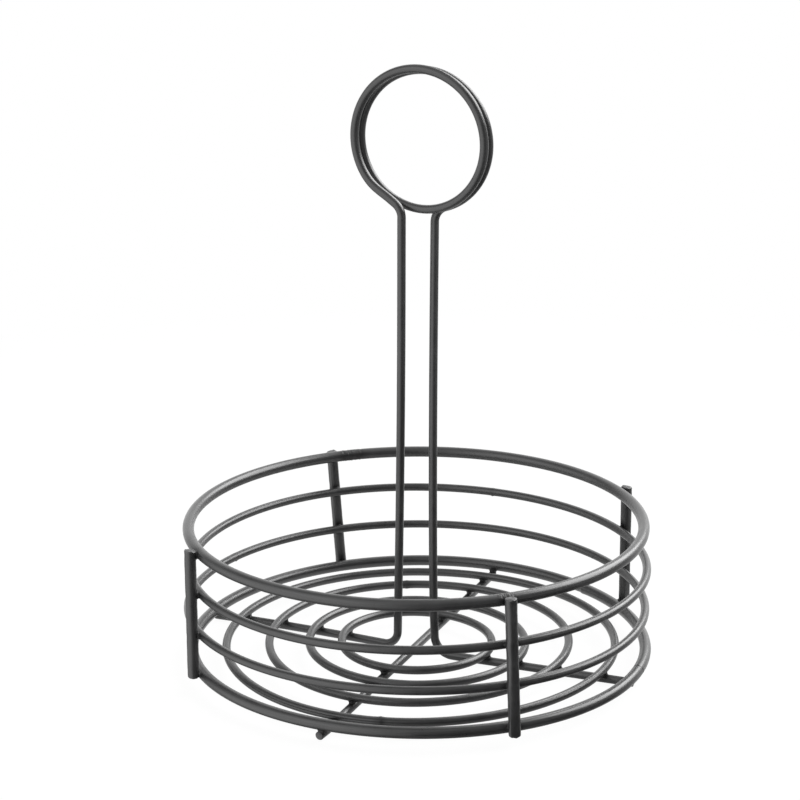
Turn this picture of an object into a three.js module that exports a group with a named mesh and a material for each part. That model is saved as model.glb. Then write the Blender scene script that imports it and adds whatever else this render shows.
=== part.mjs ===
// Condiment rack for a dining table: an open round basket of coated steel wire for sauce bottles and
// shakers, with a tall carrying handle that is wound into a double loop. Millimetres, +Z up.
// The origin lies on the table at the middle of the basket, and the handle's feet run along X.

import * as THREE from "three";

// Wire stock: the rim, the bottom ring and the posts are heavy wire, all the rest is light wire.
const heavyWire = 5;
const lightWire = 3.7;
// Daylight left between two wires where they are welded to each other.
const weldGap = 0.3;
// Burr taken off each sheared end.
const endChamfer = 0.4;

// Basket: four side rings share one outside diameter, and the posts stand against them.
const basketDiameter = 204;
const basketHeight = 64.4;
// The wall has this many spaces between its rings, and its two middle rings sit a little above even spacing.
const wallSpaceCount = 3;
const sideRingRise = 0.1;

// Floor: concentric rings laid on the cross wires, a little further apart towards the outside.
const floorRingCount = 4;
const innerFloorRadius = 33.5;
const outerFloorInset = 13;
const floorSpread = 2.4;
// The bar lies a little off the middle, slightly turned, in degrees. Bar and feet end inside the basket's outside.
const barOffset = -1.8;
const barTurn = 1.2;
const barInset = 2.3;
const leftFootInset = 0.3;
const rightFootInset = 2.6;

// Handle loop: two turns of wire, slightly tighter and lower at the end, turned a little about the upright.
const handleHeight = 263;
const loopRadius = 29.7;
const loopDraw = 0.5;
const loopDrop = 1.6;
const loopTurns = 2;
const turnGap = 1.7;
const loopOffset = 1.7;
const loopTwist = -3.5;

// Handle legs: where each one stands along X, at the neck as seen from the loop's middle. The right leg comes
// down in front of the left one, and its foot is turned back to the middle of the bottom ring.
const leftLegNeck = -6.8;
const leftLegFoot = -9.3;
const rightLegNeck = 3.55;
const rightLegFoot = 7.5;
const rightLegForward = 1.5;
const rightFootTurn = 2.6;

// Bends of the handle wire, on its centreline, and the straight run between each neck bend and the loop.
const leftNeckBend = 6.2;
const leftNeckRun = 4.5;
const rightNeckBend = 9.8;
const rightNeckRun = 0.6;
const leftFootBend = 6;
const rightFootBend = 10;

// Posts: angle about the basket's axis, in degrees from +X, of each post's lower and upper end as welded, how far
// it runs below the middle of the bottom ring, and how far it stops below the rim's top.
const posts = {
  post_front_left: { lower: 227.1, upper: 227.4, tail: 0.2, shortfall: 1 },
  post_front_right: { lower: 315.5, upper: 314.2, tail: 2.1, shortfall: 0 },
  post_rear_left: { lower: 134.2, upper: 136.45, tail: 1.2, shortfall: 1.5 },
  post_rear_right: { lower: 48.2, upper: 48.7, tail: 1.2, shortfall: 1.4 },
};

// Facets: sides round a wire, steps round a ring, a bend and a turn of the loop, and along a straight run.
const wireSides = 8;
const ringSteps = 48;
const bendSteps = 6;
const turnSteps = 32;
const straightSteps = 2;

// Finish: satin black powder coat.
const coatColour = 0x2b2b2d;
const coatRoughness = 0.42;
const coatMetalness = 0.1;

// Levels and radii that follow from the sizes above.
const crossWireZ = lightWire / 2;
const crossWireTop = lightWire + weldGap;
const floorZ = crossWireTop + lightWire / 2;
const bottomRingZ = crossWireTop + heavyWire / 2;
const rimZ = basketHeight - heavyWire / 2;
const basketRadius = basketDiameter / 2;
const heavyRingRadius = basketRadius - heavyWire / 2;
const lightRingRadius = basketRadius - lightWire / 2;
const postRadius = basketRadius + weldGap + heavyWire / 2;

// The flats of a wire's section lie on the true diameter, so its corners stand slightly proud of it.
function cornerRadius(diameter) {
  return diameter / 2 / Math.cos(Math.PI / wireSides);
}

function wireSection(diameter) {
  const radius = cornerRadius(diameter);
  const points = [];
  for (let i = 0; i < wireSides; i += 1) {
    const angle = ((i + 0.5) / wireSides) * 2 * Math.PI;
    points.push(new THREE.Vector2(radius * Math.cos(angle), radius * Math.sin(angle)));
  }
  return points;
}

function coatedMesh(name, geometry) {
  const material = new THREE.MeshStandardMaterial({
    color: coatColour,
    roughness: coatRoughness,
    metalness: coatMetalness,
  });
  const mesh = new THREE.Mesh(geometry, material);
  mesh.name = name;
  return mesh;
}

// Butt-welded hoop: the wire's section revolved about the basket's axis.
function hoop(name, diameter, radius, height) {
  const section = wireSection(diameter).map((point) => new THREE.Vector2(radius + point.x, point.y));
  section.push(section[0].clone());
  const geometry = new THREE.LatheGeometry(section, ringSteps);
  geometry.rotateX(Math.PI / 2);
  const mesh = coatedMesh(name, geometry);
  mesh.position.z = height;
  return mesh;
}

// Straight cut of wire along +Z, starting at the origin, with the burr taken off both ends.
function straightWire(name, diameter, length) {
  const radius = cornerRadius(diameter);
  const profile = [
    new THREE.Vector2(0, 0),
    new THREE.Vector2(radius - endChamfer, 0),
    new THREE.Vector2(radius, endChamfer),
    new THREE.Vector2(radius, length - endChamfer),
    new THREE.Vector2(radius - endChamfer, length),
    new THREE.Vector2(0, length),
  ];
  const geometry = new THREE.LatheGeometry(profile, wireSides, Math.PI / wireSides);
  geometry.rotateX(Math.PI / 2);
  return coatedMesh(name, geometry);
}

function sideRings() {
  const group = new THREE.Group();
  const step = (rimZ - bottomRingZ) / wallSpaceCount;
  group.add(hoop("bottom_ring", heavyWire, heavyRingRadius, bottomRingZ));
  group.add(hoop("lower_side_ring", lightWire, lightRingRadius, bottomRingZ + step + sideRingRise));
  group.add(hoop("upper_side_ring", lightWire, lightRingRadius, bottomRingZ + 2 * step + sideRingRise));
  group.add(hoop("rim_ring", heavyWire, heavyRingRadius, rimZ));
  return group;
}

// Floor rings run from the inside out. The spread draws the middle ones towards the centre.
function floorRings() {
  const group = new THREE.Group();
  const last = floorRingCount - 1;
  const step = (heavyRingRadius - outerFloorInset - innerFloorRadius) / last;
  for (let i = 0; i < floorRingCount; i += 1) {
    const draw = (floorSpread * i * (last - i)) / 2;
    group.add(hoop(`floor_ring_${i + 1}`, lightWire, innerFloorRadius + i * step - draw, floorZ));
  }
  return group;
}

// The bar crosses the floor from front to back, between the handle's legs.
function floorBar() {
  const reach = basketRadius - barInset;
  const bar = straightWire("floor_cross_bar", lightWire, 2 * reach);
  bar.rotation.x = -Math.PI / 2;
  bar.position.set(0, -reach, crossWireZ);
  const turn = new THREE.Group();
  turn.rotation.z = THREE.MathUtils.degToRad(barTurn);
  turn.position.x = barOffset;
  turn.add(bar);
  return turn;
}

// A post stands upright against the outside of the side rings and ends near the rim's top.
function post(name, place) {
  const foot = bottomRingZ - place.tail;
  const height = basketHeight - place.shortfall - foot;
  const shift = postRadius * THREE.MathUtils.degToRad(place.upper - place.lower);
  const mesh = straightWire(name, heavyWire, Math.hypot(height, shift));
  mesh.position.set(postRadius, 0, foot);
  mesh.rotation.x = -Math.atan2(shift, height);
  const turn = new THREE.Group();
  turn.rotation.z = THREE.MathUtils.degToRad(place.lower);
  turn.add(mesh);
  return turn;
}

// Centreline of a bent wire: runs laid end to end, each a formula over 0 to 1 with its own steps.
class WirePath extends THREE.Curve {
  constructor(runs) {
    super();
    this.runs = runs;
    this.steps = runs.reduce((sum, run) => sum + run.steps, 0);
  }

  getPoint(t) {
    let place = t * this.steps;
    let index = 0;
    while (index < this.runs.length - 1 && place > this.runs[index].steps) {
      place -= this.runs[index].steps;
      index += 1;
    }
    return this.runs[index].at(place / this.runs[index].steps);
  }

  // Steps are shared out by run and not by length, so that a tight bend has as many as it needs.
  getUtoTmapping(u) {
    return u;
  }

  // The section keeps one flat towards the front all along the wire, so both feet lie flat.
  computeFrenetFrames(segments) {
    const frames = { tangents: [], normals: [], binormals: [] };
    for (let i = 0; i <= segments; i += 1) {
      const tangent = this.getTangentAt(i / segments);
      const binormal = new THREE.Vector3(0, 1, 0).addScaledVector(tangent, -tangent.y).normalize();
      frames.tangents.push(tangent);
      frames.normals.push(new THREE.Vector3().crossVectors(binormal, tangent));
      frames.binormals.push(binormal);
    }
    return frames;
  }
}

function straightRun(from, to) {
  return { steps: straightSteps, at: (s) => from.clone().lerp(to, s) };
}

// Bend in an upright plane about a centre, from one angle to another, passed through a placing function.
function bendRun(centreX, centreZ, radius, from, to, place) {
  return {
    steps: bendSteps,
    at: (s) => {
      const angle = from + (to - from) * s;
      return place(centreX + radius * Math.cos(angle), centreZ + radius * Math.sin(angle));
    },
  };
}

// Neck of one leg, as seen from the loop's middle: a bend off the leg, whose centre lies outside the leg,
// and a straight run that meets the loop at a tangent. The side is -1 on the left and 1 on the right.
function neck(side, legX, radius, bend, run) {
  const centreX = legX + side * bend;
  const centreZ = -Math.sqrt((radius + bend) ** 2 + run ** 2 - centreX ** 2);
  const joint = Math.atan2(centreZ, centreX) + side * Math.atan2(run, radius + bend);
  return { legX, bend, radius, centreX, centreZ, joint };
}

// The handle is one wire: left foot, left leg, double loop, right leg and right foot.
function handlePath() {
  const endRadius = loopRadius - loopDraw;
  const left = neck(-1, leftLegNeck, loopRadius, leftNeckBend, leftNeckRun);
  const right = neck(1, rightLegNeck, endRadius, rightNeckBend, rightNeckRun);
  const sweep = left.joint - right.joint + loopTurns * 2 * Math.PI;
  const depth = ((lightWire + turnGap) * sweep) / (2 * Math.PI);
  const topShare = (left.joint + 1.5 * Math.PI) / sweep;
  const loopZ = handleHeight - lightWire / 2 - loopRadius + loopDraw * topShare + loopDrop * (topShare - 0.5);
  const twist = THREE.MathUtils.degToRad(loopTwist);

  // Places a point of the loop's own plane, pushed back and down by a share of the winding's depth and drop.
  const onLoop = (x, z, share) => {
    const point = new THREE.Vector3(x, depth * (share - 0.5), z - loopDrop * (share - 0.5));
    point.applyAxisAngle(new THREE.Vector3(0, 0, 1), twist);
    return point.add(new THREE.Vector3(loopOffset, 0, loopZ));
  };
  // Places a point of either foot, measured from the middle of the basket along the foot.
  const onLeftFoot = (x, z) => new THREE.Vector3(x, 0, z);
  const footTurn = THREE.MathUtils.degToRad(rightFootTurn);
  const onRightFoot = (x, z) => {
    const along = x - rightLegFoot;
    return new THREE.Vector3(
      rightLegFoot + along * Math.cos(footTurn),
      along * Math.sin(footTurn) - rightLegForward,
      z,
    );
  };
  const jointPoint = (side, share) =>
    onLoop(side.radius * Math.cos(side.joint), side.radius * Math.sin(side.joint), share);
  const bendPoint = (side, share) =>
    onLoop(
      side.centreX - side.bend * Math.cos(side.joint),
      side.centreZ - side.bend * Math.sin(side.joint),
      share,
    );

  const winding = {
    steps: Math.round((turnSteps * sweep) / (2 * Math.PI)),
    at: (s) => {
      const angle = left.joint - sweep * s;
      const radius = loopRadius - loopDraw * s;
      return onLoop(radius * Math.cos(angle), radius * Math.sin(angle), s);
    },
  };
  const leftCentre = leftLegFoot - leftFootBend;
  const rightCentre = rightLegFoot + rightFootBend;
  const leftRise = crossWireZ + leftFootBend;
  const rightRise = crossWireZ + rightFootBend;
  return new WirePath([
    straightRun(onLeftFoot(leftFootInset - basketRadius, crossWireZ), onLeftFoot(leftCentre, crossWireZ)),
    bendRun(leftCentre, leftRise, leftFootBend, -Math.PI / 2, 0, onLeftFoot),
    straightRun(onLeftFoot(leftLegFoot, leftRise), onLoop(left.legX, left.centreZ, 0)),
    bendRun(left.centreX, left.centreZ, left.bend, 0, left.joint + Math.PI, (x, z) => onLoop(x, z, 0)),
    straightRun(bendPoint(left, 0), jointPoint(left, 0)),
    winding,
    straightRun(jointPoint(right, 1), bendPoint(right, 1)),
    bendRun(right.centreX, right.centreZ, right.bend, right.joint + Math.PI, Math.PI, (x, z) =>
      onLoop(x, z, 1),
    ),
    straightRun(onLoop(right.legX, right.centreZ, 1), onRightFoot(rightLegFoot, rightRise)),
    bendRun(rightCentre, rightRise, rightFootBend, Math.PI, 1.5 * Math.PI, onRightFoot),
    straightRun(onRightFoot(rightCentre, crossWireZ), onRightFoot(basketRadius - rightFootInset, crossWireZ)),
  ]);
}

// Least daylight between stretches of one wire that lie further apart along it than a bend's length.
function leastGap(path, diameter) {
  const samples = 1200;
  const points = path.getPoints(samples);
  const along = [0];
  for (let i = 1; i <= samples; i += 1) {
    along.push(along[i - 1] + points[i].distanceTo(points[i - 1]));
  }
  const apart = Math.PI * (rightFootBend + lightWire);
  let least = Infinity;
  for (let i = 0; i <= samples; i += 1) {
    for (let j = i + 1; j <= samples; j += 1) {
      if (along[j] - along[i] > apart) {
        least = Math.min(least, points[i].distanceTo(points[j]));
      }
    }
  }
  return least - 2 * cornerRadius(diameter);
}

function handleWire() {
  const path = handlePath();
  console.log(`handle_wire: least gap to itself ${leastGap(path, lightWire).toFixed(2)} mm`);
  const geometry = new THREE.ExtrudeGeometry(new THREE.Shape(wireSection(lightWire)), {
    steps: path.steps,
    extrudePath: path,
  });
  return coatedMesh("handle_wire", geometry);
}

const rack = new THREE.Group();
rack.name = "condiment_rack";
rack.add(floorBar());
rack.add(handleWire());
rack.add(floorRings());
rack.add(sideRings());
for (const [name, place] of Object.entries(posts)) {
  rack.add(post(name, place));
}

export default rack;
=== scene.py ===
import math

import bmesh
import bpy
import numpy as np
from mathutils import Matrix, Vector


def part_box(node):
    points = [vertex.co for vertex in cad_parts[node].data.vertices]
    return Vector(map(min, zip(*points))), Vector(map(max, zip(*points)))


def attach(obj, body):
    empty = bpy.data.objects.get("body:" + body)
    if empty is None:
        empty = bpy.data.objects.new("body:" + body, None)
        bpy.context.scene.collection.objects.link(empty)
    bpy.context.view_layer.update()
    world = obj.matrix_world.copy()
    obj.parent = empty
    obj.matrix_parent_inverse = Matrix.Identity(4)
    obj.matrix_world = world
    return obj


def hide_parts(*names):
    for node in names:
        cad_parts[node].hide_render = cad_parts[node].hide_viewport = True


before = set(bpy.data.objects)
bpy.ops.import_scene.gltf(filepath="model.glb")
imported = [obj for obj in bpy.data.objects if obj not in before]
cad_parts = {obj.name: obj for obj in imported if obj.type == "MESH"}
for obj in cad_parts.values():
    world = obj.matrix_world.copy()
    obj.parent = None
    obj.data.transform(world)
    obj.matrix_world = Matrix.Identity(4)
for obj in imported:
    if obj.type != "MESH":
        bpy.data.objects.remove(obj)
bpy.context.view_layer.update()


# Camera: in front of the rack, to its right and a little above it, where the photograph was taken from.
# Its place, tilt and lens were fitted to the rings, the posts and the handle.
camera_heading = math.radians(23.924)
camera_tilt = math.radians(16.715)
camera_roll = math.radians(-0.125)
camera_lens = bpy.data.cameras.new("photo_camera")
camera_lens.sensor_width = 36.0
camera_lens.lens = 107.767
camera = bpy.data.objects.new("photo_camera", camera_lens)
camera.location = (0.393878, -0.906917, 0.414374)
camera_turn = Matrix.Rotation(camera_heading, 3, "Z")
camera_turn = camera_turn @ Matrix.Rotation(math.pi / 2 - camera_tilt, 3, "X")
camera_turn = camera_turn @ Matrix.Rotation(camera_roll, 3, "Z")
camera.rotation_euler = camera_turn.to_euler()
bpy.context.scene.collection.objects.link(camera)
bpy.context.scene.camera = camera
bpy.context.scene.view_settings.view_transform = "Standard"


# Floor cross bar: one length of light steel wire under the floor, from front to back. It is sheared to
# length, bent aside a little at its front end, lies on the table and is welded to each ring above it.
# The rack is welded up bare and then powder-coated satin black, so the coat is made with this piece.
MM = 0.001
UPWARD = (0.0, 0.0, 1.0)
LIGHT_SIDES = 28
bar_low, bar_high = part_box("floor_cross_bar")
light_wire = bar_high.z - bar_low.z
cross_level = (bar_low.z + bar_high.z) / 2
bar_middle = (bar_low.x + bar_high.x) / 2
bar_turn = math.radians(1.2)
bar_rear = 99.7 * MM
bar_front = 100.7 * MM
bar_aside = 0.63 * MM
bar_bent_length = 12.7 * MM
bar_stations = 221
coated_wires = []


def section_angles(sides):
    """Even angles round the section of a wire."""
    return np.linspace(0, 2 * math.pi, sides, endpoint=False)


def wire_spokes(line, across, sides, closed):
    """Direction of a wire at each station of its line, and the spokes of its round section there."""
    along = np.roll(line, -1, axis=0) - np.roll(line, 1, axis=0)
    if not closed:
        along[0] = line[1] - line[0]
        along[-1] = line[-1] - line[-2]
    along /= np.linalg.norm(along, axis=1)[:, None]
    up = across - (along @ across)[:, None] * along
    up /= np.linalg.norm(up, axis=1)[:, None]
    out = np.cross(along, up)
    angles = section_angles(sides)[:, None]
    return along, np.cos(angles) * up[:, None, :] + np.sin(angles) * out[:, None, :]


def cut_face(point, along, spokes, radius, soft_edge, lean, burr):
    """Rows of points that close a sheared end: a soft, burred edge and a slightly domed, leaning face."""
    dome = 0.12 * MM
    burr_slip = 30
    edge_turns = np.radians((22.5, 45.0, 67.5, 90.0))
    face_shares = (0.74, 0.4)
    rows = []
    for turn in edge_turns:
        push = (soft_edge + burr) * math.sin(turn)
        shrink = soft_edge * (1 - math.cos(turn))
        rows.append(point + push[:, None] * along + (radius - shrink)[:, None] * spokes)
    for share in face_shares:
        ripple = share * np.roll(burr, round(burr_slip * share))
        push = soft_edge + dome * (1 - share**2) + ripple
        rows.append(point + push[:, None] * along + (share * (radius - soft_edge))[:, None] * spokes)
    rows.append((point + along * (soft_edge + dome))[None, :])
    leant = []
    for row in rows:
        aside = (row - point) @ spokes[0]
        leant.append(row + (lean * aside)[:, None] * along)
    return leant


def skin_faces(rows, sides, closed):
    """Faces between each row of points and the next, where a row of one point closes an end."""
    starts = np.cumsum([0] + [len(row) for row in rows])
    step = np.arange(sides)
    after = (step + 1) % sides
    faces = []
    for here in range(len(rows) if closed else len(rows) - 1):
        there = (here + 1) % len(rows)
        low = starts[here]
        high = starts[there]
        if len(rows[here]) == 1:
            corners = [np.full(sides, low), high + after, high + step]
        elif len(rows[there]) == 1:
            corners = [low + step, low + after, np.full(sides, high)]
        else:
            corners = [low + step, low + after, high + after, high + step]
        faces += np.stack(corners, axis=1).tolist()
    return faces


def drawn_wire(name, line, across, radius, closed=False, lean=(0.06, -0.05), burr=0.03 * MM, seed=1):
    """A wire: a round section at each station of its line, closed on itself or with two sheared ends."""
    line = np.array(line, float)
    sides = radius.shape[1]
    soft_edge = 0.45 * MM
    burr_waves = (1, 2, 3, 5, 8)
    along, spokes = wire_spokes(line, np.array(across, float), sides, closed)
    if not closed:
        line[0] += along[0] * soft_edge
        line[-1] -= along[-1] * soft_edge
    rows = list(line[:, None, :] + radius[:, :, None] * spokes)
    cut_points = 0
    if not closed:
        draw = np.random.default_rng(seed)
        edges = np.zeros((2, sides))
        for waves in burr_waves:
            phase = draw.uniform(0, 2 * math.pi, (2, 1))
            edges += burr * np.cos(waves * section_angles(sides) + phase)
        start = cut_face(line[0], -along[0], spokes[0], radius[0], soft_edge, lean[0], edges[0])
        end = cut_face(line[-1], along[-1], spokes[-1], radius[-1], soft_edge, lean[1], edges[1])
        cut_points = sum(len(row) for row in start)
        rows = start[::-1] + rows + end
    points = np.concatenate(rows)
    mesh = bpy.data.meshes.new(name)
    mesh.from_pydata(points.tolist(), [], skin_faces(rows, sides, closed))
    mesh.shade_smooth()
    cut_end = np.zeros(len(points), np.float32)
    if cut_points:
        cut_end[:cut_points] = 1.0
        cut_end[-cut_points:] = 1.0
    mesh.attributes.new("cut_end", "FLOAT", "POINT").data.foreach_set("value", cut_end)
    wire = bpy.data.objects.new(name, mesh)
    bpy.context.scene.collection.objects.link(wire)
    coated_wires.append(wire)
    return wire


def add_node(tree, kind, settings=(), **sockets):
    """A shader node with its settings and its named input values."""
    made = tree.nodes.new(kind)
    for name, value in dict(settings).items():
        setattr(made, name, value)
    for name, value in sockets.items():
        made.inputs[name.replace("_", " ")].default_value = value
    return made


def powder_coat_group():
    """Powder coat as it flows out in the oven: slow drift of tone, orange peel and a fine grain."""
    group = bpy.data.node_groups.new("powder coat flow", "ShaderNodeTree")
    sockets = group.interface
    sockets.new_socket("Tone", in_out="INPUT", socket_type="NodeSocketColor")
    sockets.new_socket("Roughness", in_out="INPUT", socket_type="NodeSocketFloat")
    sockets.new_socket("Grain", in_out="INPUT", socket_type="NodeSocketFloat")
    sockets.new_socket("Colour", in_out="OUTPUT", socket_type="NodeSocketColor")
    sockets.new_socket("Roughness", in_out="OUTPUT", socket_type="NodeSocketFloat")
    sockets.new_socket("Height", in_out="OUTPUT", socket_type="NodeSocketFloat")
    given = group.nodes.new("NodeGroupInput")
    result = group.nodes.new("NodeGroupOutput")
    link = group.links.new
    place = group.nodes.new("ShaderNodeTexCoord")
    drift = add_node(group, "ShaderNodeTexNoise", Scale=110.0, Detail=3.0, Roughness=0.55)
    peel = add_node(group, "ShaderNodeTexNoise", Scale=820.0, Detail=1.5, Roughness=0.5)
    grain = add_node(group, "ShaderNodeTexNoise", Scale=3600.0, Detail=1.0, Roughness=0.5)
    for texture in (drift, peel, grain):
        link(place.outputs["Object"], texture.inputs["Vector"])
    noise_range = {"From_Min": 0.3, "From_Max": 0.7}

    shade = add_node(group, "ShaderNodeMapRange", To_Min=0.78, To_Max=1.22, **noise_range)
    link(drift.outputs["Fac"], shade.inputs["Value"])
    tint = add_node(group, "ShaderNodeVectorMath", {"operation": "SCALE"})
    link(given.outputs["Tone"], tint.inputs[0])
    link(shade.outputs["Result"], tint.inputs["Scale"])
    link(tint.outputs["Vector"], result.inputs["Colour"])

    patchy = add_node(group, "ShaderNodeMapRange", To_Min=-0.035, To_Max=0.035, **noise_range)
    link(drift.outputs["Fac"], patchy.inputs["Value"])
    speckle = add_node(group, "ShaderNodeMapRange", To_Min=-0.03, To_Max=0.03, **noise_range)
    link(grain.outputs["Fac"], speckle.inputs["Value"])
    both = add_node(group, "ShaderNodeMath", {"operation": "ADD"})
    link(patchy.outputs["Result"], both.inputs[0])
    link(speckle.outputs["Result"], both.inputs[1])
    rough = add_node(group, "ShaderNodeMath", {"operation": "ADD"})
    link(given.outputs["Roughness"], rough.inputs[0])
    link(both.outputs["Value"], rough.inputs[1])
    link(rough.outputs["Value"], result.inputs["Roughness"])

    fine = add_node(group, "ShaderNodeMath", {"operation": "MULTIPLY"})
    link(grain.outputs["Fac"], fine.inputs[0])
    link(given.outputs["Grain"], fine.inputs[1])
    height = add_node(group, "ShaderNodeMath", {"operation": "ADD"})
    link(peel.outputs["Fac"], height.inputs[0])
    link(fine.outputs["Value"], height.inputs[1])
    link(height.outputs["Value"], result.inputs["Height"])
    return group


coat_flow = powder_coat_group()
coat_black = (0.016, 0.016, 0.0164, 1.0)
# Darker tone for the coat on the welds and on the wires beside them; round the spot welds, where wires
# meet, this darkening is painted shade.
weld_and_shade_tone = (0.0094, 0.0094, 0.0097, 1.0)
# Paler tone on sheared ends: a painted highlight for the light that the cut faces catch.
cut_face_highlight = (0.037, 0.037, 0.038, 1.0)
coat_ior = 1.6


def wire_coat_material():
    """Satin black coat of the wires: darker, rougher and more metal-like near a weld, as thin coat over
    scorched steel at a butt weld and as painted shade where wires meet at a spot weld, and paler on a
    sheared end, a painted highlight on the cut face.
    """
    coat = bpy.data.materials.new("satin black powder coat")
    coat.use_nodes = True
    tree = coat.node_tree
    link = tree.links.new
    shader = tree.nodes["Principled BSDF"]
    shader.inputs["IOR"].default_value = coat_ior
    near_weld = add_node(tree, "ShaderNodeAttribute", {"attribute_name": "rough_coat"})
    cut = add_node(tree, "ShaderNodeAttribute", {"attribute_name": "cut_end"})
    colour_a = 6
    colour_b = 7
    mixed_colour = 2
    # Sheared ends take the paler tone, a painted highlight on the cut faces.
    cut_tone = add_node(tree, "ShaderNodeMix", {"data_type": "RGBA"})
    cut_tone.inputs[colour_a].default_value = coat_black
    cut_tone.inputs[colour_b].default_value = cut_face_highlight
    link(cut.outputs["Fac"], cut_tone.inputs["Factor"])
    weld_tone = add_node(tree, "ShaderNodeMix", {"data_type": "RGBA"})
    weld_tone.inputs[colour_b].default_value = weld_and_shade_tone
    link(cut_tone.outputs[mixed_colour], weld_tone.inputs[colour_a])
    link(near_weld.outputs["Fac"], weld_tone.inputs["Factor"])
    # Near a weld the coat turns metal-like and darker: heat scale at a butt weld, painted shade round a
    # spot weld.
    scale_and_shade_metallic = add_node(tree, "ShaderNodeMapRange", To_Min=0.0, To_Max=0.8)
    link(near_weld.outputs["Fac"], scale_and_shade_metallic.inputs["Value"])
    link(scale_and_shade_metallic.outputs["Result"], shader.inputs["Metallic"])
    roughened = add_node(tree, "ShaderNodeMapRange", To_Min=0.325, To_Max=0.47)
    link(near_weld.outputs["Fac"], roughened.inputs["Value"])
    flow = tree.nodes.new("ShaderNodeGroup")
    flow.node_tree = coat_flow
    flow.inputs["Grain"].default_value = 0.25
    link(weld_tone.outputs[mixed_colour], flow.inputs["Tone"])
    link(roughened.outputs["Result"], flow.inputs["Roughness"])
    bump = add_node(tree, "ShaderNodeBump", Strength=0.5, Distance=0.03 * MM)
    link(flow.outputs["Height"], bump.inputs["Height"])
    link(flow.outputs["Colour"], shader.inputs["Base Color"])
    link(flow.outputs["Roughness"], shader.inputs["Roughness"])
    link(bump.outputs["Normal"], shader.inputs["Normal"])
    return coat


wire_coat = wire_coat_material()
bar_run = np.linspace(-bar_front, bar_rear, bar_stations)
bent_aside = bar_aside * np.clip(1 - (bar_run + bar_front) / bar_bent_length, 0, None) ** 2
bar_x = bar_middle - bar_run * math.sin(bar_turn) - bent_aside
bar_y = bar_run * math.cos(bar_turn)
bar_line = np.stack([bar_x, bar_y, np.full(bar_stations, cross_level)], axis=1)
bar_radius = np.full((bar_stations, LIGHT_SIDES), light_wire / 2)
bar_wire = drawn_wire("bar_wire", bar_line, UPWARD, bar_radius)
bar_wire.data.materials.append(wire_coat)
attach(bar_wire, "root")
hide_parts("floor_cross_bar")


# Handle: one light wire, bent cold from end to end. Each foot runs in along the floor and bends up into
# a leg, each leg turns out through a neck, and between the necks the wire winds twice round as a finger
# loop. Its lengths are in millimetres up to where it is drawn.
handle_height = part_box("handle_wire")[1].z / MM
handle_wire = light_wire / MM
loop_radius = 29.7
loop_draw = 0.5
loop_drop = 1.6
loop_turns = 2
loop_turn_gap = 1.55
loop_offset = 1.7
loop_twist = math.radians(-3.5)
loop_stations = 230
tuck_depth = 0.8
tuck_past_neck = 1.3
tuck_width = 6.5
rearward = (0.0, 1.0, 0.0)
left_leg = {
    "side": -1,
    "neck": -7.0,
    "neck_bend": 6.2,
    "neck_run": 4.5,
    "bow": 0.5,
    "flare": 0.0,
    "foot": -9.8,
    "foot_bend": 6.8,
    "foot_back": 0.0,
    "foot_turn": 0.0,
    "foot_bow": 1.2,
    "reach": 101.7,
}
right_leg = {
    "side": 1,
    "neck": 3.72,
    "neck_bend": 7.4,
    "neck_run": 0.6,
    "bow": -0.4,
    "flare": 0.8,
    "foot": 8.7,
    "foot_bend": 8.5,
    "foot_back": -1.5,
    "foot_turn": 2.6,
    "foot_bow": 0.0,
    "reach": 99.9,
}


def shape_neck(leg, radius):
    """Where a leg's neck bend is centred, as seen from the loop's middle, and where it meets the loop."""
    reach = radius + leg["neck_bend"]
    leg["radius"] = radius
    leg["centre_x"] = leg["neck"] + leg["side"] * leg["neck_bend"]
    leg["centre_z"] = -math.sqrt(reach**2 + leg["neck_run"] ** 2 - leg["centre_x"] ** 2)
    to_centre = math.atan2(leg["centre_z"], leg["centre_x"])
    leg["joint"] = to_centre + leg["side"] * math.atan2(leg["neck_run"], reach)


shape_neck(left_leg, loop_radius)
shape_neck(right_leg, loop_radius - loop_draw)
loop_sweep = left_leg["joint"] - right_leg["joint"] + loop_turns * 2 * math.pi
loop_depth = (handle_wire + loop_turn_gap) * loop_sweep / (2 * math.pi)
top_share = (left_leg["joint"] + 1.5 * math.pi) / loop_sweep
loop_level = handle_height - handle_wire / 2 - loop_radius + loop_draw * top_share
loop_level += loop_drop * (top_share - 0.5)


def on_loop(x, z, share):
    """Points of the loop's own plane in the rack, pushed back and down by a share of the winding."""
    x, z, share = np.broadcast_arrays(np.atleast_1d(x), np.atleast_1d(z), np.atleast_1d(share))
    y = loop_depth * (share - 0.5)
    turned_x = x * math.cos(loop_twist) - y * math.sin(loop_twist)
    turned_y = x * math.sin(loop_twist) + y * math.cos(loop_twist)
    dropped_z = z + loop_level - loop_drop * (share - 0.5)
    return np.stack([turned_x + loop_offset, turned_y, dropped_z], axis=1)


def on_foot(leg, x, z):
    """Points of a foot: the right one leaves its leg at a slight angle, the left one is a little bowed."""
    x, z = np.broadcast_arrays(np.atleast_1d(x), np.atleast_1d(z))
    along = x - leg["foot"]
    share = np.abs(along) / (leg["reach"] - abs(leg["foot"]))
    y = leg["foot_back"] + along * math.tan(math.radians(leg["foot_turn"]))
    return np.stack([x, y + leg["foot_bow"] * np.sin(math.pi * share), z], axis=1)


def straight_run(start, end, step):
    """Stations along a straight stretch of wire, about a step apart."""
    count = max(2, round(float(np.linalg.norm(end - start)) / step))
    return start + np.linspace(0, 1, count + 1)[:, None] * (end - start)


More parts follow.
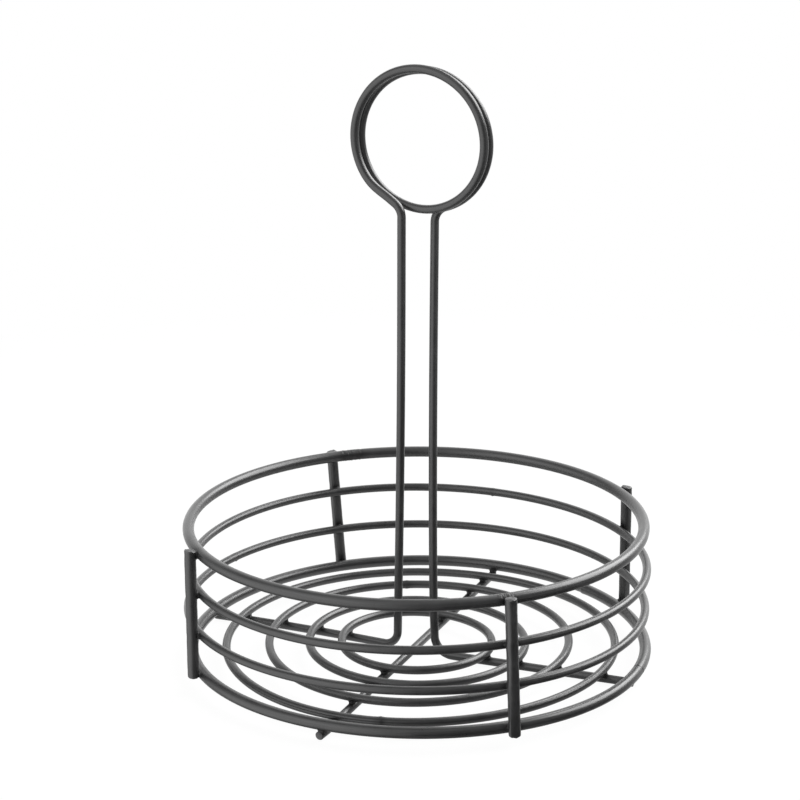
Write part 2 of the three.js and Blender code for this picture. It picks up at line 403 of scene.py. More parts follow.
def foot_run(leg):
    """A foot from its sheared end in to the bend, and round the bend up into the leg."""
    foot_stations = 100
    bend_stations = 21
    level = cross_level / MM
    centre_x = leg["foot"] + leg["side"] * leg["foot_bend"]
    centre_z = level + leg["foot_bend"]
    foot_x = np.linspace(leg["side"] * leg["reach"], centre_x, foot_stations)
    turn = np.linspace(0, math.pi / 2, bend_stations)
    bend_x = centre_x - leg["side"] * leg["foot_bend"] * np.sin(turn)
    bend_z = centre_z - leg["foot_bend"] * np.cos(turn)
    return np.concatenate([on_foot(leg, foot_x, level), on_foot(leg, bend_x, bend_z)[1:]])


def leg_run(leg, low, high):
    """A leg from its foot up to its neck: bowed a little, and the right one flared above its foot."""
    leg_step = 2.0
    flare_fade = 9.5
    line = straight_run(low, high, leg_step)
    share = np.linspace(0, 1, len(line))
    line[:, 0] += leg["bow"] * np.sin(math.pi * share)
    line[:, 0] += leg["flare"] * (np.exp(-flare_fade * share) - 1 + share)
    return line


def neck_run(leg, share):
    """From the top of a leg round its neck bend and along the short straight to the loop."""
    neck_step = 0.6
    bend_stations = 25
    outward = 0.0 if leg["side"] < 0 else math.pi
    turn = np.linspace(outward, leg["joint"] + math.pi, bend_stations)
    bend_x = leg["centre_x"] + leg["neck_bend"] * np.cos(turn)
    bend_z = leg["centre_z"] + leg["neck_bend"] * np.sin(turn)
    bend = on_loop(bend_x, bend_z, share)
    meets_x = leg["radius"] * math.cos(leg["joint"])
    meets_z = leg["radius"] * math.sin(leg["joint"])
    meets = on_loop(meets_x, meets_z, share)
    return np.concatenate([bend, straight_run(bend[-1:], meets, neck_step)[1:]])


def side_run(leg, share):
    """One side of the handle, from its sheared end up to the loop."""
    foot = foot_run(leg)
    neck = neck_run(leg, share)
    rise = leg_run(leg, foot[-1:], neck[:1])
    return np.concatenate([foot, rise[1:], neck[1:]])


def flattened_in_bends(line, wire, sides):
    """Radii of a bent wire: drawn slightly flat in the plane of a bend, the more the tighter it is."""
    flattening = 0.3
    most_flat = 0.035
    stretch = np.diff(line, axis=0)
    length = np.linalg.norm(stretch, axis=1)
    direction = stretch / length[:, None]
    kink = np.linalg.norm(np.diff(direction, axis=0), axis=1) / (0.5 * (length[1:] + length[:-1]))
    kink = np.concatenate([kink[:1], kink, kink[-1:]])
    smoothing = np.exp(-np.linspace(-2, 2, 9) ** 2)
    kink = np.pad(kink, len(smoothing) // 2, mode="edge")
    kink = np.convolve(kink, smoothing / smoothing.sum(), mode="valid")
    flat = np.clip(flattening * (kink * wire / 2) ** 2, 0.0, most_flat)
    return wire / 2 * (1 + flat[:, None] * np.cos(2 * section_angles(sides))[None, :])


def bulge(run, width):
    """A smooth rise to 1 at the middle of a run, which dies out on both sides of it."""
    return np.exp(-((run / width) ** 2))


left_side = side_run(left_leg, 0.0)
right_side = side_run(right_leg, 1.0)[::-1]
loop_share = np.linspace(0, 1, loop_stations)
loop_angle = left_leg["joint"] - loop_sweep * loop_share
loop_spiral = loop_radius - loop_draw * loop_share
loop_run = on_loop(loop_spiral * np.cos(loop_angle), loop_spiral * np.sin(loop_angle), loop_share)
handle_line = np.concatenate([left_side, loop_run[1:], right_side[1:]])
handle_steps = np.linalg.norm(np.diff(handle_line, axis=0), axis=1)
handle_run = np.concatenate([[0.0], np.cumsum(handle_steps)])
past_neck = handle_run - handle_run[len(left_side) - 1] - tuck_past_neck
tucked = tuck_depth * bulge(past_neck, tuck_width)
to_middle = np.array([loop_offset, 0.0, loop_level]) - handle_line
to_middle[:, 1] = 0.0
to_middle /= np.linalg.norm(to_middle, axis=1)[:, None]
handle_line += tucked[:, None] * to_middle
handle_radius = flattened_in_bends(handle_line, handle_wire, LIGHT_SIDES)
handle_bent_wire = drawn_wire("handle_bent_wire", handle_line * MM, rearward, handle_radius * MM)
handle_bent_wire.data.materials.append(wire_coat)
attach(handle_bent_wire, "root")
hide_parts("handle_wire")


# Floor rings: four light wires, each rolled round, butt-welded to itself and laid on the bar and the feet.
# An upset ridge stays at each butt weld, and a spot weld holds the ring wherever it crosses a wire.
def rolled_ring(node, wire, shape):
    """A ring's size from its CAD box, with the shape that it came out of the rolls with.

    Shape says by how much it is large, off the middle, oval, three-sided, high and tilted, in mm."""
    low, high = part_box(node)
    return {"radius": high.x - wire / 2, "level": (low.z + high.z) / 2, "half": wire / 2, "shape": shape}


def ring_line(rolled, angles):
    """Middle line of a rolled ring."""
    sizes = (value * MM for value in rolled["shape"])
    grown, shift_x, shift_y, oval_x, oval_y, lobe_x, lobe_y, high, tilt_x, tilt_y = sizes
    oval = oval_x * np.cos(2 * angles) + oval_y * np.sin(2 * angles)
    lobes = lobe_x * np.cos(3 * angles) + lobe_y * np.sin(3 * angles)
    reach = rolled["radius"] + grown + oval + lobes
    x = shift_x + reach * np.cos(angles)
    y = shift_y + reach * np.sin(angles)
    lift = high + tilt_x * np.cos(angles) + tilt_y * np.sin(angles)
    return np.stack([x, y, rolled["level"] + lift], axis=1)


def ring_point(rolled, angle):
    """One point of a ring's middle line."""
    return ring_line(rolled, np.array([angle]))[0]


def ring_stations(rolled, seam):
    """Angles round a ring from its butt weld: close together there and even elsewhere."""
    close_stations = 41
    even_stations = 216
    close_length = 7.0 * MM
    near = close_length / rolled["radius"]
    close = np.linspace(-near, near, close_stations)
    even = np.linspace(near, 2 * math.pi - near, even_stations)[1:-1]
    return seam + np.concatenate([close, even])


def from_spot(rolled, angles, spot):
    """Length along a ring from a spot on it, by the shorter way round."""
    apart = (angles - spot + math.pi) % (2 * math.pi) - math.pi
    return apart * rolled["radius"]


def butt_weld_ridge(rolled, angles, seam, sides, rise, seed):
    """Share by which the wire swells at its butt weld, uneven round the wire."""
    crest_width = 0.8 * MM
    skirt_width = 2.2 * MM
    skirt_share = 0.35
    ridge_waves = (1, 2, 3, 5)
    wave_sizes = (0.1, 0.4)
    draw = np.random.default_rng(seed)
    run = from_spot(rolled, angles, seam)
    ridge = bulge(run, crest_width) + skirt_share * bulge(run, skirt_width)
    uneven = np.ones(sides)
    for waves in ridge_waves:
        size = draw.uniform(*wave_sizes)
        uneven += size * np.cos(waves * section_angles(sides) + draw.uniform(0, 2 * math.pi))
    return 1 + rise * ridge[:, None] * np.clip(uneven, 0.0, None)[None, :]


def skin_drop(radius, off):
    """How far the skin of a round wire lies below its crest, at a distance to the side of it."""
    return radius - math.sqrt(max(radius**2 - off**2, 0))


weld_hold = 0.92
least_share = 1e-3
# How far the painted shade round a spot weld reaches along the wires.
weld_shade_reach = 2.6 * MM
rough_spots = []


def weld_foot(wire, reach, along, off):
    """How far weld metal runs out on a wire: further along it, but not down its side or past its end."""
    radius, _, ahead, behind = wire
    creep = 0.32
    room = ahead if along > 0 else behind
    foot = reach * (1 + creep * along**2)
    foot = min(foot, weld_hold * radius / max(off, least_share))
    return min(foot, room / max(abs(along), least_share))


def spot_weld(builder, seat, toward, gap, lower, upper, least=1.15 * MM, most=1.45 * MM):
    """Metal squeezed out where two crossed wires were pressed together: a small waist between them.

    Each wire is given as (radius, axis, room along the axis, room against it) in metres."""
    spokes = 28
    steps = 8
    sunk = 0.12 * MM
    waist_share = 0.72
    waist_room = 0.95
    core_share = 0.6
    halvings = 30
    ripples = ((2, 0.07), (3, 0.05), (5, 0.04))
    draw = np.random.default_rng(100 + len(rough_spots))
    height = draw.uniform(least, most)
    phase = draw.uniform(0, 2 * math.pi, 3)
    toward = np.array(toward, float)
    lower_radius = lower[0]
    upper_radius = upper[0]
    lower_axis = np.array(lower[1], float)
    upper_axis = np.array(upper[1], float)
    beside = np.cross(toward, lower_axis)
    upper_beside = np.cross(toward, upper_axis)
    corners = []
    for turn in np.linspace(0, 2 * math.pi, spokes, endpoint=False):
        way = math.cos(turn) * lower_axis + math.sin(turn) * beside
        off_lower = abs(math.sin(turn))
        off_upper = abs(float(way @ upper_beside))
        near = 0.0
        far = lower_radius / max(off_lower, least_share)
        far = weld_hold * min(far, upper_radius / max(off_upper, least_share))
        for _ in range(halvings):
            middle = (near + far) / 2
            opening = gap + skin_drop(lower_radius, middle * off_lower)
            opening += skin_drop(upper_radius, middle * off_upper)
            if opening < height:
                near = middle
            else:
                far = middle
        uneven = 1.0
        for (waves, size), shift in zip(ripples, phase):
            uneven += size * math.sin(waves * turn + shift)
        lower_foot = weld_foot(lower, near * uneven, float(way @ lower_axis), off_lower)
        upper_foot = weld_foot(upper, near * uneven, float(way @ upper_axis), off_upper)
        waist = min(waist_share * near * uneven, waist_room * lower_foot, waist_room * upper_foot)
        low = -gap / 2 - skin_drop(lower_radius, lower_foot * off_lower) - sunk
        high = gap / 2 + skin_drop(upper_radius, upper_foot * off_upper) + sunk
        profile = []
        for share in np.linspace(0, 1, steps + 1):
            shares = ((1 - share) ** 2, 2 * share * (1 - share), share**2)
            out = shares[0] * lower_foot + shares[1] * waist + shares[2] * upper_foot
            up = shares[0] * low + shares[1] * (low + high) / 2 + shares[2] * high
            profile.append(builder.verts.new(seat + way * out + toward * up))
        corners.append(profile)
    low_core = builder.verts.new(seat - toward * (gap / 2 + core_share * lower_radius))
    high_core = builder.verts.new(seat + toward * (gap / 2 + core_share * upper_radius))
    for here in range(spokes):
        one = corners[here]
        other = corners[(here + 1) % spokes]
        for step in range(steps):
            builder.faces.new((one[step], other[step], other[step + 1], one[step + 1]))
        builder.faces.new((low_core, other[0], one[0]))
        builder.faces.new((high_core, one[steps], other[steps]))
    # The darkening of the coat round this spot, where the two wires meet, is painted shade.
    rough_spots.append((np.array(seat, float), weld_shade_reach))


def weld_coat_material():
    """Coat over a spot weld: the same powder, drawn thin over scorched and beaded metal."""
    coat = bpy.data.materials.new("powder coat over welds")
    coat.use_nodes = True
    tree = coat.node_tree
    link = tree.links.new
    shader = tree.nodes["Principled BSDF"]
    shader.inputs["IOR"].default_value = coat_ior
    shader.inputs["Specular IOR Level"].default_value = 0.2
    place = tree.nodes.new("ShaderNodeTexCoord")
    beads = add_node(tree, "ShaderNodeTexVoronoi", {"feature": "SMOOTH_F1"}, Scale=1500.0, Smoothness=0.6)
    link(place.outputs["Object"], beads.inputs["Vector"])
    flow = tree.nodes.new("ShaderNodeGroup")
    flow.node_tree = coat_flow
    flow.inputs["Tone"].default_value = weld_and_shade_tone
    flow.inputs["Roughness"].default_value = 0.5
    flow.inputs["Grain"].default_value = 0.5
    height = add_node(tree, "ShaderNodeMath", {"operation": "ADD"})
    link(flow.outputs["Height"], height.inputs[0])
    link(beads.outputs["Distance"], height.inputs[1])
    bump = add_node(tree, "ShaderNodeBump", Strength=0.7, Distance=0.08 * MM)
    link(height.outputs["Value"], bump.inputs["Height"])
    link(flow.outputs["Colour"], shader.inputs["Base Color"])
    link(flow.outputs["Roughness"], shader.inputs["Roughness"])
    link(bump.outputs["Normal"], shader.inputs["Normal"])
    return coat


weld_coat = weld_coat_material()


def weld_piece(name, builder):
    """One piece out of the spot welds of a group of wires."""
    bmesh.ops.recalc_face_normals(builder, faces=builder.faces[:])
    mesh = bpy.data.meshes.new(name)
    builder.to_mesh(mesh)
    builder.free()
    mesh.shade_smooth()
    mesh.materials.append(weld_coat)
    piece = bpy.data.objects.new(name, mesh)
    bpy.context.scene.collection.objects.link(piece)
    return piece


def crossings(rolled):
    """Angles where a ring crosses the bar, rear and front, and the right and left feet, with their axes."""
    search_step = 0.02
    angles = np.radians(np.arange(0.0, 360.0, search_step))
    points = ring_line(rolled, angles)
    rear = points[:, 1] > 0
    right = points[:, 0] > 0
    bar_axis = np.array([-math.sin(bar_turn), math.cos(bar_turn), 0.0])
    off_bar = np.abs((points[:, 0] - bar_middle) * bar_axis[1] - points[:, 1] * bar_axis[0])
    found = []
    for side, axis in ((rear, bar_axis), (~rear, -bar_axis)):
        found.append((angles[side][np.argmin(off_bar[side])], axis))
    for side, leg in ((right, right_leg), (~right, left_leg)):
        foot = on_foot(leg, points[:, 0] / MM, 0.0) * MM
        off_foot = np.abs(points[:, 1] - foot[:, 1])
        turn = math.radians(leg["foot_turn"])
        axis = leg["side"] * np.array([math.cos(turn), math.sin(turn), 0.0])
        found.append((angles[side][np.argmin(off_foot[side])], axis))
    return found


ample = 9 * MM


def weld_to_floor_wire(builder, rolled, angle, cross_axis, end_room=ample):
    """Spot weld between a ring and the bar or foot that it lies on, which may end close by."""
    seat = ring_point(rolled, angle)
    crest = cross_level + light_wire / 2
    gap = seat[2] - rolled["half"] - crest
    seat[2] = crest + gap / 2
    ring_axis = (-math.sin(angle), math.cos(angle), 0.0)
    lower = (light_wire / 2, cross_axis, end_room, ample)
    spot_weld(builder, seat, UPWARD, gap, lower, (rolled["half"], ring_axis, ample, ample))


floor_seams = np.radians((18.0, 205.0, 118.0, 283.0))
floor_shapes = (
    (-0.06, -0.77, -0.17, 0.17, -0.44, 0.13, 0.18, 0.02, -0.06, 0.0),
    (-0.28, -0.47, -0.13, -0.05, -0.74, 0.02, 0.15, 0.01, -0.05, 0.01),
    (0.79, -0.11, 0.38, -0.88, -0.21, -0.21, 0.55, 0.32, -0.01, 0.11),
    (-0.18, 0.64, 0.01, -0.48, 0.16, -0.18, 0.73, -0.1, 0.1, 0.05),
)
floor_ridge = 0.055
floor_mark = 2.4 * MM
floor_welds = bmesh.new()
for count, (seam, shape) in enumerate(zip(floor_seams, floor_shapes)):
    rolled = rolled_ring(f"floor_ring_{count + 1}", light_wire, shape)
    angles = ring_stations(rolled, seam)
    radius = rolled["half"] * butt_weld_ridge(rolled, angles, seam, LIGHT_SIDES, floor_ridge, 40 + count)
    line = ring_line(rolled, angles)
    ring = drawn_wire(f"floor_ring_wire_{count + 1}", line, UPWARD, radius, closed=True)
    ring.data.materials.append(wire_coat)
    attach(ring, "root")
    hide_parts(f"floor_ring_{count + 1}")
    rough_spots.append((ring_point(rolled, seam), floor_mark))
    for angle, cross_axis in crossings(rolled):
        weld_to_floor_wire(floor_welds, rolled, angle, cross_axis)
floor_spot_welds = weld_piece("floor_spot_welds", floor_welds)
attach(floor_spot_welds, "root")


# Bottom ring: heavy wire, rolled and butt-welded, which lies on the ends of the bar and of the handle's
# feet. Its joint is slightly out of line, a tool has nicked it at the right, and the wires under it are
# spot-welded to it close to their ends.
HEAVY_SIDES = 32
bottom_low, bottom_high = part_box("bottom_ring")
heavy_wire = bottom_high.z - bottom_low.z
bottom_shape = (0.23, 0.62, 0.14, 0.23, 0.19, 0.33, -0.42, 0.01, 0.03, -0.02)
bottom_rolled = rolled_ring("bottom_ring", heavy_wire, bottom_shape)
bottom_seam = math.radians(62.15)
bottom_nick = math.radians(363.0)
bottom_ridge = 0.035
nick_depth = 0.085
nick_width = 0.28 * MM
nick_reach = 0.012
nick_stations = 31
joint_step = 0.22 * MM
joint_width = 0.4 * MM
joint_fade = 14 * MM
end_margin = 0.1 * MM
least_room = 0.3 * MM
bottom_angles = ring_stations(bottom_rolled, bottom_seam)
nick_angles = bottom_nick + np.linspace(-nick_reach, nick_reach, nick_stations)
bottom_angles = np.sort(np.concatenate([bottom_angles, nick_angles]))
bottom_swell = butt_weld_ridge(bottom_rolled, bottom_angles, bottom_seam, HEAVY_SIDES, bottom_ridge, 51)
nick_run = from_spot(bottom_rolled, bottom_angles, bottom_nick)
bottom_swell *= 1 - nick_depth * bulge(nick_run, nick_width)[:, None]
bottom_line = ring_line(bottom_rolled, bottom_angles)
seam_run = from_spot(bottom_rolled, bottom_angles, bottom_seam)
seam_step = joint_step * np.tanh(seam_run / joint_width) * np.exp(-np.abs(seam_run) / joint_fade)
bottom_line[:, 0] += seam_step * np.cos(bottom_angles)
bottom_line[:, 1] += seam_step * np.sin(bottom_angles)
bottom_radius = bottom_swell * heavy_wire / 2
bottom_wire = drawn_wire("bottom_ring_wire", bottom_line, UPWARD, bottom_radius, closed=True)
bottom_wire.data.materials.append(wire_coat)
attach(bottom_wire, "root")
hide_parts("bottom_ring")
bottom_welds = bmesh.new()
end_reaches = (bar_rear, bar_front, right_leg["reach"] * MM, left_leg["reach"] * MM)
for (angle, cross_axis), end_reach in zip(crossings(bottom_rolled), end_reaches):
    ring_x, ring_y, _ = ring_point(bottom_rolled, angle)
    end_room = max(end_reach - math.hypot(ring_x, ring_y) - end_margin, least_room)
    weld_to_floor_wire(bottom_welds, bottom_rolled, angle, cross_axis, end_room)
bottom_spot_welds = weld_piece("bottom_spot_welds", bottom_welds)
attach(bottom_spot_welds, "root")


# Side rings: two light wires of the wall, rolled and butt-welded like the floor rings and held by the
# posts. Each butt weld was pressed almost flush, and left a small nib of metal under the wire.
side_seams = {"lower_side_ring": math.radians(171.0), "upper_side_ring": math.radians(92.45)}
side_shapes = {
    "lower_side_ring": (0.07, -0.36, -0.08, 0.36, 0.17, 0.03, -0.39, 0.04, -0.03, -0.09),
    "upper_side_ring": (0.2, -0.03, -0.24, -0.12, -0.34, 0.16, 0.29, -0.1, -0.09, 0.19),
}
side_ridge = 0.02
side_mark = 1.4 * MM
nib_rise = 0.13
nib_width = 0.5 * MM
nib_facing = math.radians(208)
nib_spread = 0.3
wall_rings = [bottom_rolled]
for count, (node, seam) in enumerate(side_seams.items()):
    rolled = rolled_ring(node, light_wire, side_shapes[node])
    wall_rings.append(rolled)
    angles = ring_stations(rolled, seam)
    swell = butt_weld_ridge(rolled, angles, seam, LIGHT_SIDES, side_ridge, 60 + count)
    nib_along = bulge(from_spot(rolled, angles, seam), nib_width)
    nib_round = bulge(section_angles(LIGHT_SIDES) - nib_facing, nib_spread)
    swell += nib_rise * nib_along[:, None] * nib_round[None, :]
    line = ring_line(rolled, angles)
    ring = drawn_wire(node + "_wire", line, UPWARD, swell * light_wire / 2, closed=True)
    ring.data.materials.append(wire_coat)
    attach(ring, "root")
    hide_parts(node)
    rough_spots.append((ring_point(rolled, seam), side_mark))


# Rim: heavy wire at the top of the wall, rolled and butt-welded. Its weld was dressed with a grinder,
# which left a scored and slightly flattened patch at the rear left that the coat doesn't hide. Drops of
# weld metal have stuck to it at the front right post.
rim_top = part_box("rim_ring")[1].z
rim_shape = (-0.08, -0.67, -0.16, -0.2, 0.13, -0.16, -0.1, 0.01, 0.08, 0.01)
rim_rolled = rolled_ring("rim_ring", heavy_wire, rim_shape)
wall_rings.append(rim_rolled)
rim_seam = math.radians(131.9)
rim_ridge = 0.01
ground_half = 5.2 * MM
ground_edge = 0.7 * MM
ground_flats = ((262.0, 0.05), (15.0, 0.015))
least_facing = 0.3
ground_mark = 3.0 * MM
mark_step = 3.6 * MM
score_depth = 0.05
groove_depth = 0.03
groove_width = 0.6 * MM
groove_place = -5.0 * MM
rim_spatter = math.radians(314.0)
spatter_width = 3.2 * MM
spatter_height = 0.045
spatter_range = (-0.5, 1.6)
spatter_reach = 0.06
spatter_stations = 49
spatter_angles = rim_spatter + np.linspace(-spatter_reach, spatter_reach, spatter_stations)
rim_angles = np.sort(np.concatenate([ring_stations(rim_rolled, rim_seam), spatter_angles]))
rim_swell = butt_weld_ridge(rim_rolled, rim_angles, rim_seam, HEAVY_SIDES, rim_ridge, 71)
ground_run = from_spot(rim_rolled, rim_angles, rim_seam)
ground = 0.5 - 0.5 * np.tanh((np.abs(ground_run) - ground_half) / ground_edge)
for facing, depth in ground_flats:
    toward_flat = np.cos(section_angles(HEAVY_SIDES) - math.radians(facing))
    flat = np.minimum((1 - depth) / np.clip(toward_flat, least_facing, None), 1.0)
    flat = np.where(toward_flat > least_facing, flat, 1.0)
    rim_swell *= 1 + ground[:, None] * (flat - 1)[None, :]
scores = np.random.default_rng(72).uniform(-1, 1, (len(rim_angles), HEAVY_SIDES))
rim_swell *= 1 + score_depth * ground[:, None] * scores
rim_swell *= 1 - groove_depth * bulge(ground_run - groove_place, groove_width)[:, None]
spatter = bulge(from_spot(rim_rolled, rim_angles, rim_spatter), spatter_width)
lumps = np.random.default_rng(73).normal(0, 1, (len(rim_angles), HEAVY_SIDES))
rim_swell *= 1 + spatter_height * spatter[:, None] * np.clip(lumps, *spatter_range)
rim_line = ring_line(rim_rolled, rim_angles)
rim_wire = drawn_wire("rim_wire", rim_line, UPWARD, rim_swell * heavy_wire / 2, closed=True)
rim_wire.data.materials.append(wire_coat)
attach(rim_wire, "root")
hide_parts("rim_ring")
for shift in (-mark_step, 0.0, mark_step):
    marked = rim_seam + shift / rim_rolled["radius"]
    rough_spots.append((ring_point(rim_rolled, marked), ground_mark))


# Posts: four straight cuts of heavy wire outside the rings, pressed against them and spot-welded to each.
# They were set by hand, so some lean and they end at different heights. A place is the angle at the foot
# and at the top, then how far the post starts below the bottom ring's middle and ends below the rim's top.
post_places = {
    "post_front_left": (227.1, 227.1, 0.2, 0.45),
    "post_front_right": (315.5, 314.15, 2.1, 0.0),
    "post_rear_left": (134.2, 136.5, 1.2, 1.5),
    "post_rear_right": (48.3, 48.5, 1.2, 1.4),
}
post_gap = 0.3 * MM
post_out = bottom_rolled["radius"] + heavy_wire + post_gap
post_step = 0.8 * MM
press_width = 1.9 * MM
press_spread = -0.04
dent_depth = 0.004
dent_lengths = (3.1, 4.7, 7.3, 11.0, 17.0)
post_burr = 0.075 * MM
foot_lean = 0.04
top_lean = 0.09
lean_step = 0.05
top_margin = 0.2 * MM
post_round = section_angles(HEAVY_SIDES)
post_welds = bmesh.new()
for count, (node, (lower, upper, tail, shortfall)) in enumerate(post_places.items()):
    turn = math.radians(lower)
    outward = np.array([math.cos(turn), math.sin(turn), 0.0])
    sideways = np.array([-math.sin(turn), math.cos(turn), 0.0])
    foot_level = bottom_rolled["level"] - tail * MM
    top_level = rim_top - shortfall * MM
    foot = outward * post_out + np.array([0.0, 0.0, foot_level])
    rise = sideways * post_out * math.radians(upper - lower)
    rise[2] = top_level - foot_level
    line = straight_run(foot, foot + rise, post_step)
    pressed = np.zeros(len(line))
    for rolled in wall_rings:
        pressed += bulge(line[:, 2] - rolled["level"], press_width)
    spread = press_spread * np.cos(2 * post_round)
    dents = np.zeros((len(line), HEAVY_SIDES))
    draw = np.random.default_rng(300 + count)
    for length in dent_lengths:
        wave = 2 * math.pi * line[:, 2] / (length * MM) + draw.uniform(0, 2 * math.pi)
        dents += dent_depth * np.cos(wave[:, None] + draw.integers(1, 4) * post_round[None, :])
    radius = heavy_wire / 2 * (1 + dents + pressed[:, None] * spread[None, :])
    lean = (foot_lean, top_lean - lean_step * count)
    post = drawn_wire(node + "_wire", line, outward, radius, lean=lean, burr=post_burr, seed=310 + count)
    post.data.materials.append(wire_coat)
    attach(post, "root")
    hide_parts(node)
    upright = rise / np.linalg.norm(rise)
    for rolled in wall_rings:
        middle = foot + rise * (rolled["level"] - foot_level) / (top_level - foot_level)
        angle = math.atan2(middle[1], middle[0])
        ring_middle = ring_point(rolled, angle)
        facing = np.array([math.cos(angle), math.sin(angle), 0.0])
        ring_face = math.hypot(ring_middle[0], ring_middle[1]) + rolled["half"]
        gap = math.hypot(middle[0], middle[1]) - heavy_wire / 2 - ring_face
        seat = facing * (ring_face + gap / 2)
        seat[2] = ring_middle[2]
        room_above = max(top_level - rolled["level"] - top_margin, least_room)
        room_below = rolled["level"] - foot_level - end_margin
        ring_side = (rolled["half"], (-facing[1], facing[0], 0.0), ample, ample)
        post_side = (heavy_wire / 2, upright, room_above, room_below)
        spot_weld(post_welds, seat, facing, gap, ring_side, post_side, least=0.75 * MM, most=1.0 * MM)
post_spot_welds = weld_piece("post_spot_welds", post_welds)
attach(post_spot_welds, "root")


# Weld marks: each wire carries how near it is to a weld, which its material reads, and the coat there is
# darker, rougher and duller. At a butt weld and its ground patch that is the coat over heat scale and
# grinding; round a spot weld, where the wires meet, the darkening is painted shade.
for wire in coated_wires:
    points = np.zeros(len(wire.data.vertices) * 3, np.float32)
    wire.data.vertices.foreach_get("co", points)
    points = points.reshape(-1, 3)
    rough = np.zeros(len(points), np.float32)
    for spot, reach in rough_spots:
        rough = np.maximum(rough, bulge(np.linalg.norm(points - spot, axis=1), reach))
    wire.data.attributes.new("rough_coat", "FLOAT", "POINT").data.foreach_set("value", rough)


# Studio: a pale table with no edge in view, one large soft light high at the right rear, and pale walls
# that are lit at the left, behind, above, at the front left and faintly at the right. Glowing cards under
# the rack, which only the gloss of the wires shows, are painted reflections: white under its back half,
# half as bright under its front half, and a painted dark reflection at its front right.
def around_rack(turn, distance, height):
    """A place round the rack, by degrees from the camera's side of it toward the picture's right."""
    angle = math.radians(turn)
    toward = Vector((math.sin(camera_heading), -math.cos(camera_heading), 0.0))
    rightward = Vector((math.cos(camera_heading), math.sin(camera_heading), 0.0))
    place = (toward * math.cos(angle) + rightward * math.sin(angle)) * distance
    return place + Vector((0.0, 0.0, height))


lamp_width = 1.76
lamp_height = 1.12
lamp_level = 7.0
lamp_place = around_rack(117, 1.2, 1.07)
lamp_aim = Vector((0.0, 0.0, 0.03))
lamp = bpy.data.lights.new("right rear light", "AREA")
lamp.shape = "RECTANGLE"
lamp.size = lamp_width
lamp.size_y = lamp_height
lamp.energy = lamp_level * math.pi * lamp_width * lamp_height
lamp_holder = bpy.data.objects.new("right rear light", lamp)
lamp_holder.location = lamp_place
lamp_holder.rotation_mode = "QUATERNION"
lamp_holder.rotation_quaternion = (lamp_aim - lamp_place).to_track_quat("-Z", "Y")
lamp_holder.visible_camera = False
bpy.context.scene.collection.objects.link(lamp_holder)


def light_path_sum(tree):
    """1 for rays from the camera, from a gloss or through a clear surface, and 0 for all others."""
    path = tree.nodes.new("ShaderNodeLightPath")
    first = add_node(tree, "ShaderNodeMath", {"operation": "ADD", "use_clamp": True})
    second = add_node(tree, "ShaderNodeMath", {"operation": "ADD", "use_clamp": True})
    tree.links.new(path.outputs["Is Camera Ray"], first.inputs[0])
    tree.links.new(path.outputs["Is Glossy Ray"], first.inputs[1])
    tree.links.new(first.outputs["Value"], second.inputs[0])
    tree.links.new(path.outputs["Is Transmission Ray"], second.inputs[1])
    return second.outputs["Value"]


white = (1.0, 1.0, 1.0, 1.0)
table_half = 5.0
table_level = -0.2 * MM
table_paint = bpy.data.materials.new("pale table")
table_paint.use_nodes = True
table_tree = table_paint.node_tree
table_tree.nodes.clear()
table_link = table_tree.links.new
table_matt = add_node(table_tree, "ShaderNodeBsdfDiffuse", Color=(0.9, 0.9, 0.9, 1.0))
table_white = add_node(table_tree, "ShaderNodeEmission", Color=white, Strength=1.0)
table_place = table_tree.nodes.new("ShaderNodeTexCoord")
table_away = add_node(table_tree, "ShaderNodeVectorMath", {"operation": "LENGTH"})
table_fade = {"From_Min": 0.12, "From_Max": 0.6, "To_Min": 0.95, "To_Max": 1.0}
table_bright = add_node(table_tree, "ShaderNodeMapRange", **table_fade)
table_share = add_node(table_tree, "ShaderNodeMath", {"operation": "MULTIPLY"})
table_mix = table_tree.nodes.new("ShaderNodeMixShader")
table_out = table_tree.nodes.new("ShaderNodeOutputMaterial")
table_link(table_place.outputs["Object"], table_away.inputs[0])
table_link(table_away.outputs["Value"], table_bright.inputs["Value"])
table_link(light_path_sum(table_tree), table_share.inputs[0])
table_link(table_bright.outputs["Result"], table_share.inputs[1])
table_link(table_share.outputs["Value"], table_mix.inputs["Fac"])
table_link(table_matt.outputs["BSDF"], table_mix.inputs[1])
table_link(table_white.outputs["Emission"], table_mix.inputs[2])
table_link(table_mix.outputs["Shader"], table_out.inputs["Surface"])
table_corners = [
    (-table_half, -table_half, table_level),
    (table_half, -table_half, table_level),
    (table_half, table_half, table_level),
    (-table_half, table_half, table_level),
]
table_mesh = bpy.data.meshes.new("table")
table_mesh.from_pydata(table_corners, [], [(0, 1, 2, 3)])
table_mesh.materials.append(table_paint)
table = bpy.data.objects.new("table", table_mesh)
table.visible_glossy = False
table.visible_shadow = False
bpy.context.scene.collection.objects.link(table)


card_height = -0.1 * MM


def reflection_card(name, outline, level):
    """A glowing card on the table that only the gloss of the wires shows, a painted reflection; its corners
    are turns and distances.
    """
    paint = bpy.data.materials.new(name)
    paint.use_nodes = True
    tree = paint.node_tree
    tree.nodes.clear()
    glow = add_node(tree, "ShaderNodeEmission", Color=white, Strength=level)
    out = tree.nodes.new("ShaderNodeOutputMaterial")
    tree.links.new(glow.outputs["Emission"], out.inputs["Surface"])
    corners = [around_rack(turn, distance, card_height) for turn, distance in outline]
    mesh = bpy.data.meshes.new(name)
    mesh.from_pydata(corners, [], [tuple(range(len(corners)))])
    mesh.materials.append(paint)
    card = bpy.data.objects.new(name, mesh)
    card.visible_camera = False
    card.visible_diffuse = False
    card.visible_transmission = False
    card.visible_shadow = False
    bpy.context.scene.collection.objects.link(card)


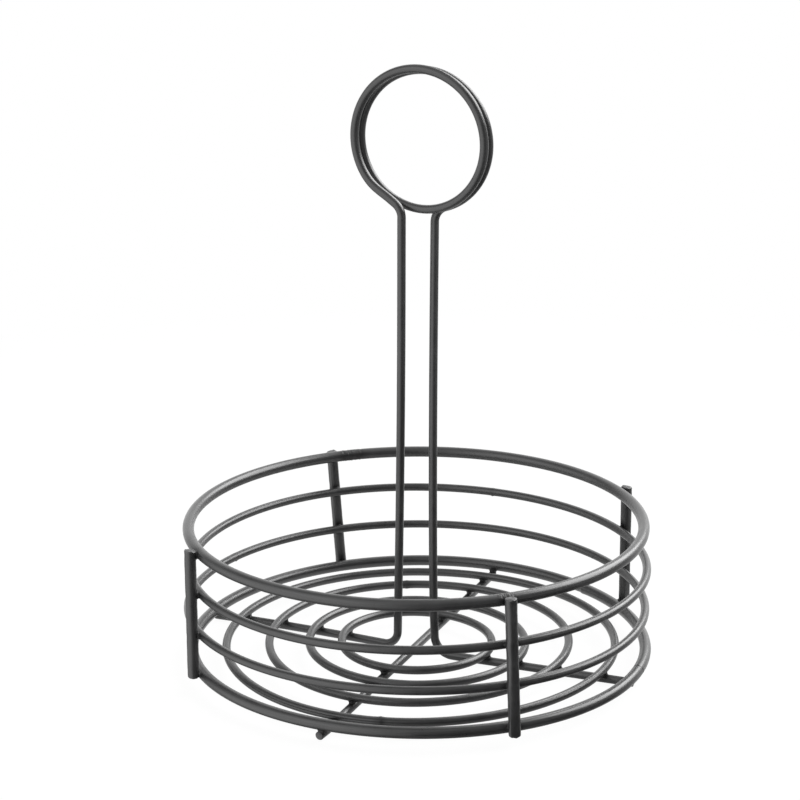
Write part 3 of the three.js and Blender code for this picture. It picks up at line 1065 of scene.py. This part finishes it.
rear_outline = [(turn, 0.135) for turn in range(90, 271, 10)]
front_outline = [(turn, 0.095) for turn in range(-90, 91, 10)]
shade_reflection_outline = [(-3, 0.11), (30, 0.11), (60, 0.11), (75, 0.35), (45, 0.35), (2, 0.3)]
# Painted reflections of a bright floor under the back of the rack and a dimmer one under its front.
reflection_card("rear painted reflection", rear_outline, level=1.0)
reflection_card("front painted reflection", front_outline, level=0.5)
# A painted dark reflection: it darkens the right sides of the wires in their gloss.
reflection_card("painted dark reflection", shade_reflection_outline, level=0.03)

world = bpy.data.worlds.new("studio")
bpy.context.scene.world = world
world.use_nodes = True
world_tree = world.node_tree
world_link = world_tree.links.new
world_light = world_tree.nodes["Background"]
world_light.inputs["Color"].default_value = white
world_way = world_tree.nodes.new("ShaderNodeTexCoord")


def lit_wall(turn, lift, full, fade, level):
    """A lit part of the studio's walls: even up to one angle from its middle and gone at another."""
    nearness = add_node(world_tree, "ShaderNodeVectorMath", {"operation": "DOT_PRODUCT"})
    lift = math.radians(lift)
    nearness.inputs[1].default_value = around_rack(turn, math.cos(lift), math.sin(lift))
    world_link(world_way.outputs["Generated"], nearness.inputs[0])
    glow = add_node(world_tree, "ShaderNodeMapRange", {"interpolation_type": "SMOOTHSTEP"}, To_Max=level)
    glow.inputs["From Min"].default_value = math.cos(math.radians(fade))
    glow.inputs["From Max"].default_value = math.cos(math.radians(full))
    world_link(nearness.outputs["Value"], glow.inputs["Value"])
    return glow.outputs["Result"]


unlit_wall = 0.25
lit_walls = (
    lit_wall(turn=-62, lift=-4, full=18, fade=68, level=1.6),
    lit_wall(turn=175, lift=8, full=15, fade=70, level=1.22),
    lit_wall(turn=0, lift=90, full=15, fade=55, level=0.48),
    lit_wall(turn=-40, lift=42, full=12, fade=40, level=0.67),
    lit_wall(turn=75, lift=-15, full=10, fade=38, level=0.25),
)
wall_level = None
for lit in lit_walls:
    added = add_node(world_tree, "ShaderNodeMath", {"operation": "ADD"})
    added.inputs[1].default_value = unlit_wall
    if wall_level is not None:
        world_link(wall_level, added.inputs[1])
    world_link(lit, added.inputs[0])
    wall_level = added.outputs["Value"]
world_path = world_tree.nodes.new("ShaderNodeLightPath")
world_view = add_node(world_tree, "ShaderNodeMix", {"data_type": "FLOAT"}, B=1.0)
world_link(world_path.outputs["Is Camera Ray"], world_view.inputs["Factor"])
world_link(wall_level, world_view.inputs["A"])
world_link(world_view.outputs["Result"], world_light.inputs["Strength"])
